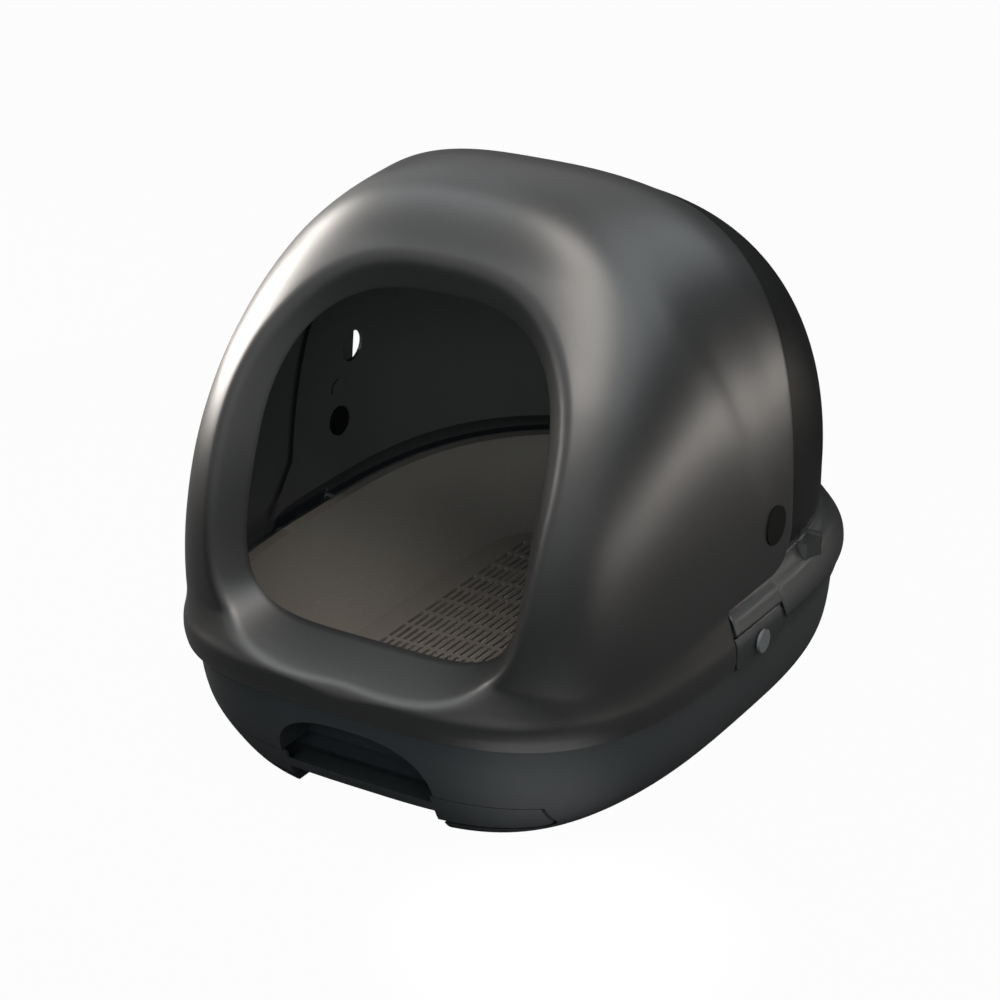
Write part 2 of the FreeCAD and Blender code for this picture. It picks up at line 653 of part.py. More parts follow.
def block(name, start, length, depth, width, height, rise):
    item = doc.addObject("Part::Box", name)
    item.setExpression("Length", length)
    item.setExpression("Width", width)
    item.setExpression("Height", rise)
    item.setExpression("Placement.Base.x", start)
    item.setExpression("Placement.Base.y", depth)
    item.setExpression("Placement.Base.z", height)
    return item


def fused(label, items):
    joined = doc.addObject("Part::MultiFuse", label)
    joined.Label = label
    joined.Shapes = items
    joined.Refine = True
    return joined


def placed(side, near, length):
    """Start of a length along X that begins at the distance near on the given side."""
    return near if side > 0 else "-(" + near + ")-(" + length + ")"


def pin(label, side):
    depth, height = "sizes.pivot_back", "sizes.pivot_height"
    head_near = "sizes.front_half_width"
    foot_near = "sizes.rear_half_width-sizes.hood_wall-sizes.move_gap-sizes.pin_foot_thickness"
    shank_length = "sizes.front_half_width-(" + foot_near + ")"
    return fused(label, [
        rod(label + "_head", "sizes.pin_head_radius", placed(side, head_near, "sizes.pin_head_thickness"),
            "sizes.pin_head_thickness", depth, height),
        rod(label + "_shank", "sizes.pin_radius", placed(side, foot_near, shank_length), shank_length, depth, height),
        rod(label + "_foot", "sizes.pin_foot_radius", placed(side, foot_near, "sizes.pin_foot_thickness"),
            "sizes.pin_foot_thickness", depth, height)])


tab_near = "sizes.tub_half_width+sizes.stud_reach"
tab_face = tab_near + "+sizes.tab_thickness"


def tab(label, side):
    start = placed(side, tab_near, "sizes.tab_thickness")
    length = "sizes.tab_thickness"
    whole = "sizes.tab_front+sizes.tab_back"
    inset = whole + "-2*sizes.tab_corner"
    low = "sizes.tab_foot+sizes.tab_corner"
    plate = fused(label + "_plate", [
        block(label + "_upper", start, length, "-sizes.tab_front", whole, low, "sizes.tab_top-(" + low + ")"),
        block(label + "_lower", start, length, "-sizes.tab_front+sizes.tab_corner", inset, "sizes.tab_foot",
              "sizes.tab_top-sizes.tab_foot"),
        rod(label + "_front_corner", "sizes.tab_corner", start, length, "-sizes.tab_front+sizes.tab_corner", low),
        rod(label + "_back_corner", "sizes.tab_corner", start, length, "sizes.tab_back-sizes.tab_corner", low)])
    bore = rod(label + "_bore", "sizes.stud_shank_radius+sizes.seat_gap", start, length, "-sizes.stud_front",
               "sizes.stud_height")
    cut = doc.addObject("Part::Cut", label)
    cut.Label = label
    cut.Base = plate
    cut.Tool = bore
    return cut


def stud(label, side):
    depth, height = "-sizes.stud_front", "sizes.stud_height"
    shank_near = "sizes.tub_half_width-sizes.stud_reach"
    shank_length = tab_face + "-(" + shank_near + ")"
    return fused(label, [
        rod(label + "_head", "sizes.stud_radius", placed(side, tab_face, "sizes.stud_head"), "sizes.stud_head",
            depth, height),
        rod(label + "_shank", "sizes.stud_shank_radius", placed(side, shank_near, shank_length), shank_length,
            depth, height)])


nodes = [base_tub, grate_basin, drawer_tray, pad_body, front_hood, rear_hood]
for ending, side in (("left", -1), ("right", 1)):
    nodes.append(pin("pivot_pin_" + ending, side))
    nodes.append(tab("latch_tab_" + ending, side))
    nodes.append(stud("latch_stud_" + ending, side))
doc.recompute()

os.makedirs("parts", exist_ok=True)
for item in doc.Objects:
    if "Invalid" in item.State or "Error" in item.State:
        raise RuntimeError(item.Label + " did not compute")
for node in nodes:
    shape = node.Shape
    if shape.isNull() or not shape.isValid():
        raise RuntimeError(node.Label + " has no valid shape")
    shape.exportStep("parts/" + node.Label + ".step")
    bounds = shape.BoundBox
    print(node.Label, len(shape.Solids), "solids", round(shape.Volume), "mm3",
          [round(value, 1) for value in (bounds.XMin, bounds.XMax, bounds.YMin, bounds.YMax, bounds.ZMin, bounds.ZMax)])
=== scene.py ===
# %% [markdown]
# # A covered litter box
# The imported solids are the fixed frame: they say where every piece sits and how it moves.
# This lesson dresses them. The hood's front half gets a new skin with soft rolled edges, the rear half
# a cove above its flange, the latch tabs rounded corners, and the pad becomes quilted cloth. Every
# plastic gets a finish of its own.

# %% Load the frame
import json
import math

import bmesh
import bpy
import numpy as np
from mathutils import Matrix, Vector


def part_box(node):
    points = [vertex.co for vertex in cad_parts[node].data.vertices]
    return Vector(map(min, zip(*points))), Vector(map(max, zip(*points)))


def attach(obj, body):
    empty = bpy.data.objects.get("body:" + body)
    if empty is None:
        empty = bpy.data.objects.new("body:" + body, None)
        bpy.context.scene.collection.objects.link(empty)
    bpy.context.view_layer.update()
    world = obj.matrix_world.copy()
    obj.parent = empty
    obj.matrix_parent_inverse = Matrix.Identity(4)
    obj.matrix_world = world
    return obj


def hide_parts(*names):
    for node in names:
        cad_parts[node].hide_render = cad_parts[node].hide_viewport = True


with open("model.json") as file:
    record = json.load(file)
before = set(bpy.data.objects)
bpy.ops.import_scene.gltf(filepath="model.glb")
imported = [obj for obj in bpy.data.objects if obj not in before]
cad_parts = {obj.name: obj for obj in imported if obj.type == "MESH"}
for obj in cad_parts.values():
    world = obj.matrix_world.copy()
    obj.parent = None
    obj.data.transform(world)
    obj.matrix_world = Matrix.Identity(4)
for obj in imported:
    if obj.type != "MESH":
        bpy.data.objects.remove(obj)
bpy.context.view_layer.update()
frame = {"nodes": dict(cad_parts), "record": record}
MM = 0.001

# %% [markdown]
# ## Camera
# The box is seen from its front right, a little from above, through a long lens, which keeps its
# edges almost parallel. A camera can be made to track an empty. Here its place and its two angles
# are known, so they set it by themselves.

# %% Camera
CAMERA_PLACE = Vector((0.9498, -1.5968, 0.9740))
CAMERA_AZIMUTH = 31.5
CAMERA_ELEVATION = 23.9
CAMERA_LENS = 99.1
CAMERA_SENSOR = 36.0
CAMERA_SIGHT = 100.0


def toward(azimuth, elevation):
    """A direction out of the object, in degrees: azimuth 0 is the doorway side, plus turns to its right."""
    turn = math.radians(azimuth)
    rise = math.radians(elevation)
    level = math.cos(rise)
    return Vector((level * math.sin(turn), -level * math.cos(turn), math.sin(rise)))


def stand(place, away):
    """The matrix of a thing that stands at a place, upright, with its back to a direction."""
    return Matrix.Translation(place) @ away.to_track_quat("Z", "Y").to_matrix().to_4x4()


camera_data = bpy.data.cameras.new("camera")
camera_data.lens = CAMERA_LENS
camera_data.sensor_width = CAMERA_SENSOR
camera_data.clip_end = CAMERA_SIGHT
camera = bpy.data.objects.new("camera", camera_data)
bpy.context.scene.collection.objects.link(camera)
camera.matrix_world = stand(CAMERA_PLACE, toward(CAMERA_AZIMUTH, CAMERA_ELEVATION))
bpy.context.scene.camera = camera
bpy.context.scene.view_settings.view_transform = "Standard"
print("camera", tuple(round(value, 3) for value in camera.location))

# %% [markdown]
# ## Moulded plastic
# Every plastic on the box comes out of a mould, so they share one effect: a very fine grain, slow
# drifts of tone and gloss, and a little dust on what faces up. Each material could hold its own copy
# of these nodes. Here they are one node group, which puts out masks and a height, so that a change to
# the group reaches every plastic, and each finish places it with its own values.


# %% Helpers for nodes and materials
def set_inputs(tree, node, inputs):
    """Give inputs of a node, by name or number, each as a value or as a socket to link."""
    for name, value in inputs.items():
        if isinstance(value, bpy.types.NodeSocket):
            tree.links.new(value, node.inputs[name])
        else:
            node.inputs[name].default_value = value


def add_node(tree, kind, inputs=None, **settings):
    """A new node, with its settings made before its inputs, because a setting can change the inputs."""
    made = tree.nodes.new(kind)
    for name, value in settings.items():
        setattr(made, name, value)
    set_inputs(tree, made, inputs or {})
    return made


def new_finish(name):
    """A new material and its node tree."""
    finish = bpy.data.materials.new(name)
    finish.use_nodes = True
    print("finish", name)
    return finish, finish.node_tree


# %% The shared grain of moulded plastic
GRAIN_INPUTS = {"Grain Scale": 1500.0, "Drift Scale": 9.0, "Roughness": 0.4, "Roughness Spread": 0.06}
GRAIN_OUTPUTS = ("Tone", "Dust", "Roughness", "Height")
GRAIN_DETAIL = 2.0
DRIFT_DETAIL = 5.0
DRIFT_ROUGHNESS = 0.6
DRIFT_MIDDLE = 0.5
SPECK_SCALE = 420.0
SPECK_DETAIL = 3.0
SPECK_BARE = 0.58
SPECK_FULL = 0.78


def build_moulded_grain():
    group = bpy.data.node_groups.new("moulded_grain", "ShaderNodeTree")
    group.interface.new_socket("Vector", in_out="INPUT", socket_type="NodeSocketVector")
    for name, value in GRAIN_INPUTS.items():
        made = group.interface.new_socket(name, in_out="INPUT", socket_type="NodeSocketFloat")
        made.default_value = value
    for name in GRAIN_OUTPUTS:
        group.interface.new_socket(name, in_out="OUTPUT", socket_type="NodeSocketFloat")
    given = add_node(group, "NodeGroupInput").outputs
    grain = add_node(group, "ShaderNodeTexNoise", {
        "Vector": given["Vector"], "Scale": given["Grain Scale"], "Detail": GRAIN_DETAIL})
    drift = add_node(group, "ShaderNodeTexNoise", {
        "Vector": given["Vector"], "Scale": given["Drift Scale"],
        "Detail": DRIFT_DETAIL, "Roughness": DRIFT_ROUGHNESS})
    centred = add_node(group, "ShaderNodeMath", {
        0: drift.outputs["Fac"], 1: DRIFT_MIDDLE}, operation="SUBTRACT")
    gloss = add_node(group, "ShaderNodeMath", {
        0: centred.outputs["Value"], 1: given["Roughness Spread"], 2: given["Roughness"]},
        operation="MULTIPLY_ADD")
    specks = add_node(group, "ShaderNodeTexNoise", {
        "Vector": given["Vector"], "Scale": SPECK_SCALE, "Detail": SPECK_DETAIL})
    sparse = add_node(group, "ShaderNodeMapRange", {
        "Value": specks.outputs["Fac"], "From Min": SPECK_BARE, "From Max": SPECK_FULL})
    facing = add_node(group, "ShaderNodeNewGeometry")
    split = add_node(group, "ShaderNodeSeparateXYZ", {"Vector": facing.outputs["Normal"]})
    dust = add_node(group, "ShaderNodeMath", {
        0: split.outputs["Z"], 1: sparse.outputs["Result"]}, operation="MULTIPLY", use_clamp=True)
    add_node(group, "NodeGroupOutput", {
        "Tone": drift.outputs["Fac"], "Dust": dust.outputs["Value"],
        "Roughness": gloss.outputs["Value"], "Height": grain.outputs["Fac"]})
    return group


moulded_grain = build_moulded_grain()
print("node group", moulded_grain.name, [item.name for item in moulded_grain.interface.items_tree])


# %% A moulded plastic finish
def moulded_plastic(name, dark, light, dust, roughness, spread, grain_scale, grain_height, specular):
    """A plastic whose tone drifts between two colours. The height of its grain is in metres."""
    finish, tree = new_finish(name)
    place = add_node(tree, "ShaderNodeTexCoord")
    grain = add_node(tree, "ShaderNodeGroup", {
        "Vector": place.outputs["Object"], "Grain Scale": grain_scale,
        "Roughness": roughness, "Roughness Spread": spread}, node_tree=moulded_grain)
    tone = add_node(tree, "ShaderNodeMix", {
        "Factor": grain.outputs["Tone"], "A": (*dark, 1.0), "B": (*light, 1.0)}, data_type="RGBA")
    dusty = add_node(tree, "ShaderNodeMix", {
        "Factor": grain.outputs["Dust"], "A": tone.outputs["Result"], "B": (*dust, 1.0)}, data_type="RGBA")
    bump = add_node(tree, "ShaderNodeBump", {
        "Height": grain.outputs["Height"], "Strength": 1.0, "Distance": grain_height})
    set_inputs(tree, tree.nodes["Principled BSDF"], {
        "Base Color": dusty.outputs["Result"], "Roughness": grain.outputs["Roughness"],
        "Normal": bump.outputs["Normal"], "Specular IOR Level": specular})
    return finish


# %% [markdown]
# ## The finishes of this box
# The hood's front half is satin black and mirrors soft shapes. Its rear half is the same black with
# hardly any gloss, and its flange, the tub and the tabs are duller and paler. The basin is a warm grey
# brown. One black for all would be simpler, but then the pieces would melt into each other.

# %% Hood finishes
hood_satin = moulded_plastic(
    "hood_satin", dark=(0.0050, 0.0052, 0.0054), light=(0.0068, 0.0070, 0.0072), dust=(0.014, 0.014, 0.0145),
    roughness=0.42, spread=0.05, grain_scale=1800.0, grain_height=0.000004, specular=0.55)
hood_rear = moulded_plastic(
    "hood_rear", dark=(0.0048, 0.0050, 0.0052), light=(0.0066, 0.0068, 0.0070), dust=(0.012, 0.012, 0.0125),
    roughness=0.46, spread=0.05, grain_scale=1800.0, grain_height=0.000004, specular=0.08)
# The inside is the same black plastic painted about six times lighter: painted light, standing in for the
# light that reaches into the hood.
hood_inside_painted_light = moulded_plastic(
    "hood_inside_painted_light", dark=(0.030, 0.030, 0.029), light=(0.037, 0.037, 0.036), dust=(0.045, 0.045, 0.044),
    roughness=0.6, spread=0.06, grain_scale=1300.0, grain_height=0.00001, specular=0.3)
flange_matte = moulded_plastic(
    "flange_matte", dark=(0.0095, 0.0108, 0.0115), light=(0.0125, 0.0140, 0.0150), dust=(0.02, 0.021, 0.022),
    roughness=0.5, spread=0.06, grain_scale=1400.0, grain_height=0.000008, specular=0.35)

# %% Finishes of the tub, the basin and the small pieces
tub_matte = moulded_plastic(
    "tub_matte", dark=(0.014, 0.0165, 0.0175), light=(0.019, 0.022, 0.0235), dust=(0.03, 0.032, 0.033),
    roughness=0.58, spread=0.08, grain_scale=1300.0, grain_height=0.00001, specular=0.35)
basin_matte = moulded_plastic(
    "basin_matte", dark=(0.090, 0.080, 0.070), light=(0.110, 0.099, 0.086), dust=(0.135, 0.124, 0.110),
    roughness=0.58, spread=0.08, grain_scale=1300.0, grain_height=0.00001, specular=0.5)
pin_black = moulded_plastic(
    "pin_black", dark=(0.002, 0.002, 0.002), light=(0.003, 0.003, 0.003), dust=(0.005, 0.005, 0.005),
    roughness=0.6, spread=0.06, grain_scale=1500.0, grain_height=0.000008, specular=0.08)
stud_grey = moulded_plastic(
    "stud_grey", dark=(0.055, 0.060, 0.062), light=(0.070, 0.076, 0.078), dust=(0.09, 0.094, 0.096),
    roughness=0.5, spread=0.06, grain_scale=1500.0, grain_height=0.000006, specular=0.4)

# %% [markdown]
# ## Finishes on the frame's own solids
# The tub, the basin, the drawer, the pins and the studs already have their true shape. They could be
# modelled again, but the solids are exact, so they stay in view and only take their finish.

# %% Dress the solids
PLASTIC_OF_SLOT = {
    "hood": hood_satin,
    "tub": tub_matte,
    "basin": basin_matte,
    "pin": pin_black,
    "stud": stud_grey,
}
for item in frame["record"]["subparts"]:
    if item["material_slot"] in PLASTIC_OF_SLOT:
        solid = frame["nodes"][item["node"]]
        solid.data.materials.clear()
        solid.data.materials.append(PLASTIC_OF_SLOT[item["material_slot"]])
        print("dressed", item["node"], "with", PLASTIC_OF_SLOT[item["material_slot"]].name)

# %% [markdown]
# ## Shapes that the mouldings share
# The hood's outlines are squircles, curves between an ellipse and a box. A list of shares, such as how
# far each arch reaches, is read through a smooth curve, so that the skin between two arches has no kink.
# The forms are functions that say how far a point lies outside them, which lets two forms be joined
# with a soft valley. Sizes in these cells are in millimetres.


# %% Squircles, and smooth reading of a list of shares
def squircle(turn, power):
    return (np.abs(np.sin(turn)) ** power + np.abs(np.cos(turn)) ** power) ** (-1.0 / power)


def smooth_share(shares, place):
    """The value at a place between list entries, on a curve through them."""
    values = np.array(shares)
    values = np.concatenate(([2 * values[0] - values[1]], values, [2 * values[-1] - values[-2]]))
    place = np.clip(place, 0, len(shares) - 1)
    low = np.minimum(place.astype(int), len(shares) - 2)
    part = place - low
    before, here, after, beyond = (values[low + step] for step in range(4))
    slope_here = (after - before) / 2
    slope_after = (beyond - here) / 2
    rise = after - here
    bend = 3 * rise - 2 * slope_here - slope_after
    twist = slope_here + slope_after - 2 * rise
    return here + part * (slope_here + part * (bend + part * twist))


# %% The dome of the hood's front half
DOME_HALF = 191.5
DOME_REACH = 300.0
DOME_CORE = 30.0
DOME_AXIS = np.array((0.0, 41.0, 96.0))
DOME_REACH_SHARES = (0.999, 1.067, 1.122, 1.144, 1.077, 1.031, 1.009, 0.994, 0.98, 0.966, 0.954, 0.944, 0.938)
DOME_POWERS = (3.2, 2.94, 2.63, 2.75, 3.66, 4.38, 4.78, 4.96, 5.04, 4.99, 4.88, 4.66, 4.3)


def outside_dome(points):
    """How far points lie outside the dome of arches, less than zero inside."""
    back = points[..., 1] - DOME_AXIS[1]
    up = points[..., 2] - DOME_AXIS[2]
    turn = np.clip(np.arctan2(np.maximum(up, 0), back), math.pi / 2, math.pi)
    place = (turn / (math.pi / 2) - 1) * (len(DOME_POWERS) - 1)
    reach = DOME_REACH * smooth_share(DOME_REACH_SHARES, place)
    power = smooth_share(DOME_POWERS, place)
    out = np.where(up > 0, np.hypot(back, up), -back)
    out = np.maximum(out - DOME_CORE, 0) / (reach - DOME_CORE)
    across = np.abs(points[..., 0]) / DOME_HALF
    return ((across ** power + out ** power) ** (1 / power) - 1) * DOME_HALF


print("the dome's axis lies", -outside_dome(DOME_AXIS), "mm inside it")

# %% The flared skirt
SKIRT_FOOT = 88.7
SKIRT_HALF = 198.5
SKIRT_FRONT = 267.6
SKIRT_BACK = 243.0
SKIRT_MIDDLE = 12.0
SKIRT_POWERS = (3.6, 2.6)
SKIRT_SAMPLES = 400
SKIRT_CLOSING = 6
SKIRT_CEILING = 2
FRONT_SKIRT = {"height": 44.3, "side": 8.6, "front": 13.0, "back": 22.0,
               "levels": (0.0, 0.1, 0.22, 0.38, 0.53, 0.69, 0.85, 1.0),
               "shares": (0.0, 0.1, 0.16, 0.1, -0.15, -0.45, -0.85, -1.5)}


def outside_skirt(points, skirt):
    """How far points lie outside a flared skirt, which closes quickly above its own height."""
    steps = np.linspace(0, len(skirt["levels"]) - 1, SKIRT_SAMPLES)
    levels = smooth_share(skirt["levels"], steps)
    flares = smooth_share(skirt["shares"], steps)
    level = (points[..., 2] - SKIRT_FOOT) / skirt["height"]
    flare = np.interp(level, levels, flares)
    flare = flare - np.maximum(level - 1, 0) * SKIRT_CLOSING
    behind = points[..., 1] >= SKIRT_MIDDLE
    power = np.where(behind, SKIRT_POWERS[1], SKIRT_POWERS[0])
    reach = np.where(behind, SKIRT_BACK + skirt["back"] * flare, SKIRT_FRONT + skirt["front"] * flare)
    along = np.abs(points[..., 1] - SKIRT_MIDDLE) / np.maximum(reach, 1)
    across = np.abs(points[..., 0]) / np.maximum(SKIRT_HALF + skirt["side"] * flare, 1)
    out = ((across ** power + along ** power) ** (1 / power) - 1) * SKIRT_HALF
    return np.maximum(out, (level - SKIRT_CEILING) * skirt["height"])


print("skirt", 2 * SKIRT_HALF, "mm wide and", SKIRT_FRONT + SKIRT_BACK, "mm long at its foot")

# %% Join two forms, and find where lines leave a form
VALLEY_BLEND = 6.0
HALVINGS = 44
FAR = 600.0


def soft_union(first, second, blend):
    """Two outside distances as one, with a soft valley where the forms meet."""
    near = np.maximum(blend - np.abs(first - second), 0) / blend
    return np.minimum(first, second) - near * near * blend / 4


def front_form(points):
    return soft_union(outside_dome(points), outside_skirt(points, FRONT_SKIRT), VALLEY_BLEND)


def leave_point(starts, ways, shape, low=0.0):
    """The point on each line, start plus a share of way, at which it leaves the shape."""
    starts, ways = np.broadcast_arrays(starts, ways)
    near = np.full(starts.shape[:-1], low)
    far = np.ones(starts.shape[:-1])
    for _ in range(HALVINGS):
        middle = (near + far) / 2
        inside = shape(starts + ways * middle[..., None]) < 0
        near = np.where(inside, middle, near)
        far = np.where(inside, far, middle)
    return starts + ways * ((near + far) / 2)[..., None]


print("top of the front form above its axis", leave_point(DOME_AXIS, np.array((0.0, 0.0, FAR)), front_form))

# %% [markdown]
# ## The hood's front half
# On the real box this is one moulding: a dome that flares into a skirt, with a doorway sunk into a
# rolled collar. It could be sculpted or cut from a subdivided box, but then its edges would be hard to
# place. Here the skin is drawn out of the door's edge as rings: each ring is extruded from the last
# and laid on the form, over the band of the collar, round its rolled ridge, and out to the free edges.

# %% Door edge and collar
DOOR_MIDDLE = 239.0
DOOR = {"half": 112.8, "rise": 110.0, "drop": 115.0, "foot": -207.5, "head": -121.0, "lean": 1.94,
        "powers": (2.7, 4.8)}
COLLAR = {"half": 134.0, "rise": 133.0, "drop": 128.0, "foot": -250.0, "head": -124.0, "lean": 1.54,
          "powers": (2.6, 4.0)}


def doorway_ring(turns, loop):
    """Points round the doorway, turned from its top, on a loop that leans back towards its head."""
    upper = np.cos(turns) >= 0
    power = np.where(upper, loop["powers"][0], loop["powers"][1])
    out = squircle(turns, power)
    height = np.where(upper, loop["rise"], loop["drop"]) * out * np.cos(turns)
    share = np.clip((height + loop["drop"]) / (loop["rise"] + loop["drop"]), 0, 1)
    depth = loop["foot"] + (loop["head"] - loop["foot"]) * share ** loop["lean"]
    return np.stack((loop["half"] * out * np.sin(turns), depth, DOOR_MIDDLE + height), axis=-1)


print("door", 2 * DOOR["half"], "mm wide,", DOOR["rise"] + DOOR["drop"], "mm high")

# %% Lines of the free edge
REAR_EDGE = 40.5
LOWER_EDGE = 132.0
EDGE_CORNER = 30.0
SKIRT_END = -58.0
FINE = 400


def on_side(depth, height, shape):
    """The point of the right flank at a depth and height."""
    starts = np.stack((np.zeros_like(depth), depth, height), axis=-1)
    return leave_point(starts, np.array((FAR, 0.0, 0.0)), shape)


quarter = np.linspace(0, math.pi / 2, FINE)
arch_ways = np.stack((np.sin(quarter), np.zeros(FINE), np.cos(quarter)), axis=-1) * FAR
rear_arch = leave_point(np.array((0.0, REAR_EDGE, LOWER_EDGE + EDGE_CORNER)), arch_ways, front_form)
rear_corner = on_side(REAR_EDGE - EDGE_CORNER + EDGE_CORNER * np.cos(quarter),
                      LOWER_EDGE + EDGE_CORNER - EDGE_CORNER * np.sin(quarter), front_form)
lower_depths = np.linspace(REAR_EDGE - EDGE_CORNER, SKIRT_END, FINE)
lower_edge = on_side(lower_depths, np.full(FINE, LOWER_EDGE), front_form)
skirt_end = on_side(np.full(FINE, SKIRT_END), np.linspace(LOWER_EDGE, SKIRT_FOOT, FINE), front_form)
foot_turns = quarter + math.pi / 2
foot_ways = np.stack((np.sin(foot_turns), np.cos(foot_turns), np.zeros(FINE)), axis=-1) * FAR
skirt_foot = leave_point(np.array((0.0, SKIRT_END, SKIRT_FOOT)), foot_ways, front_form)
print("top of the rear arch in mm", rear_arch[0].round(1))

# %% Columns along the free edge
# Each run is a line, its number of columns, and the turn of the doorway, in degrees, where it ends.
EDGE_RUNS = ((rear_arch, 88, 96.0), (rear_corner, 12, 107.0), (lower_edge, 14, 119.0),
             (skirt_end, 12, 129.0), (skirt_foot, 66, 180.0))


def even_steps(points, count):
    """The points of a line, set again at even distances."""
    lengths = np.concatenate(([0], np.cumsum(np.linalg.norm(np.diff(points, axis=0), axis=1))))
    wanted = np.linspace(0, lengths[-1], count + 1)
    return np.stack([np.interp(wanted, lengths, points[:, axis]) for axis in range(3)], axis=-1)


half_edge = [rear_arch[:1]]
half_turns = [np.zeros(1)]
for run, count, last_turn in EDGE_RUNS:
    half_edge.append(even_steps(run, count)[1:])
    half_turns.append(np.linspace(math.degrees(half_turns[-1][-1]), last_turn, count + 1)[1:] * math.pi / 180)
half_edge = np.concatenate(half_edge)
half_turns = np.concatenate(half_turns)
print("columns in half of the front skin", len(half_turns))

# %% The collar's ridge and its roll
FRONT_HEART = np.array((0.0, -20.0, 170.0))
RIDGE_FROM = 0.1
RIDGE_SEARCH = 2.2
ROLL_REACH = 8.0
ROLL_MOST_OF_SKIN = 0.4
ROLL_MOST_OF_BAND = 0.6

door_edge = doorway_ring(half_turns, DOOR)
collar_edge = doorway_ring(half_turns, COLLAR)
ridge = leave_point(door_edge, (collar_edge - door_edge) * RIDGE_SEARCH, front_form, low=RIDGE_FROM)
ridge[0, 0] = ridge[-1, 0] = 0.0


def toward_edge(share):
    """Points of the skin at a share of the way from the ridge to the free edge."""
    ways = (ridge - FRONT_HEART) * (1 - share)[:, None] + (half_edge - FRONT_HEART) * share[:, None]
    ways = ways / np.linalg.norm(ways, axis=-1)[:, None] * FAR
    return leave_point(FRONT_HEART, ways, front_form)


run_length = np.linalg.norm(half_edge - ridge, axis=-1)
roll_share = np.minimum(ROLL_REACH / run_length, ROLL_MOST_OF_SKIN)
roll_end = toward_edge(roll_share)
band_way = door_edge - ridge
band_length = np.linalg.norm(band_way, axis=-1)
roll_start = ridge + band_way * np.minimum(ROLL_REACH / band_length, ROLL_MOST_OF_BAND)[:, None]
print("collar's band in mm, narrowest and widest", band_length.min().round(1), band_length.max().round(1))

# %% Rings from the door edge to the free edges
BAND_STEPS = 6
ROLL_STEPS = 8
SKIN_STEPS = 44


def mirrored_ring(half):
    """A closed ring from its right half, which runs from the top middle to the bottom middle."""
    left = half[-2:0:-1] * np.array((-1.0, 1.0, 1.0))
    return np.concatenate((half, left))


rings = []
for step in range(BAND_STEPS):
    share = step / BAND_STEPS
    rings.append(door_edge * (1 - share) + roll_start * share)
for step in range(ROLL_STEPS + 1):
    share = step / ROLL_STEPS
    rings.append(roll_start * (1 - share) ** 2 + ridge * 2 * share * (1 - share) + roll_end * share ** 2)
for step in range(1, SKIN_STEPS):
    share = step / SKIN_STEPS
    rings.append(toward_edge(roll_share + (1 - roll_share) * share))
rings.append(half_edge)
rings = [mirrored_ring(ring) * MM for ring in rings]
print("rings", len(rings), "of", len(rings[0]), "points")


# %% Draw a skin through rows of points
def make_piece(name, shape, finish):
    """An object of the scene from a bmesh, in one finish."""
    mesh = bpy.data.meshes.new(name)
    shape.to_mesh(mesh)
    shape.free()
    mesh.materials.append(finish)
    piece = bpy.data.objects.new(name, mesh)
    bpy.context.scene.collection.objects.link(piece)
    return piece


def draw_rows(shape, row, edges, rows):
    """Extrude the edges of a row again and again, and lay each new row on its places."""
    for places in rows:
        made = bmesh.ops.extrude_edge_only(shape, edges=edges)["geom"]
        edges = [item for item in made if isinstance(item, bmesh.types.BMEdge)]
        fresh = {vert for edge in edges for vert in edge.verts}
        follow = {}
        for vert in fresh:
            for edge in vert.link_edges:
                if edge.other_vert(vert) not in fresh:
                    follow[edge.other_vert(vert)] = vert
        row = [follow[vert] for vert in row]
        for vert, place in zip(row, places):
            vert.co = place
    for face in shape.faces:
        face.smooth = True


def skin_through(name, rings, finish):
    """A sheet extruded ring by ring, from the first ring to the last."""
    shape = bmesh.new()
    bmesh.ops.create_circle(shape, segments=len(rings[0]), radius=1.0)
    row = list(shape.verts)
    for vert, place in zip(row, rings[0]):
        vert.co = place
    draw_rows(shape, row, list(shape.edges), rings[1:])
    return make_piece(name, shape, finish)


# %% Turn a skin outwards, and give it a wall with soft edges
EDGE_SEGMENTS = 2
EDGE_ANGLE = 50


def face_outwards(piece, heart):
    """Turn the faces away from a point inside."""
    shape = bmesh.new()
    shape.from_mesh(piece.data)
    bmesh.ops.recalc_face_normals(shape, faces=shape.faces)
    outward = 0.0
    for face in shape.faces:
        outward += (face.calc_center_median() - heart).dot(face.normal) * face.calc_area()
    if outward < 0:
        bmesh.ops.reverse_faces(shape, faces=shape.faces)
    shape.to_mesh(piece.data)
    shape.free()


def give_wall(piece, thickness, inside=None, even=True):
    """Thicken a skin inwards, with another finish inside if one is given."""
    wall = piece.modifiers.new("wall", "SOLIDIFY")
    if inside is not None:
        piece.data.materials.append(inside)
        wall.material_offset = 1
    wall.thickness = thickness
    wall.offset = -1.0
    wall.use_even_offset = even


def soften_edges(piece, width):
    soft = piece.modifiers.new("soft edges", "BEVEL")
    soft.width = width
    soft.segments = EDGE_SEGMENTS
    soft.limit_method = "ANGLE"
    soft.angle_limit = math.radians(EDGE_ANGLE)


# %% The front skin
HOOD_WALL = 2.6
HOOD_EDGE = 0.7

front_skin = skin_through("front_hood_skin", rings, hood_satin)
face_outwards(front_skin, Vector(FRONT_HEART * MM))
# The inner wall takes the inside finish, the black painted lighter: painted light inside the hood.
give_wall(front_skin, HOOD_WALL * MM, inside=hood_inside_painted_light)
soften_edges(front_skin, HOOD_EDGE * MM)
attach(front_skin, "front")
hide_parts("front_hood")
print("front skin faces", len(front_skin.data.polygons))
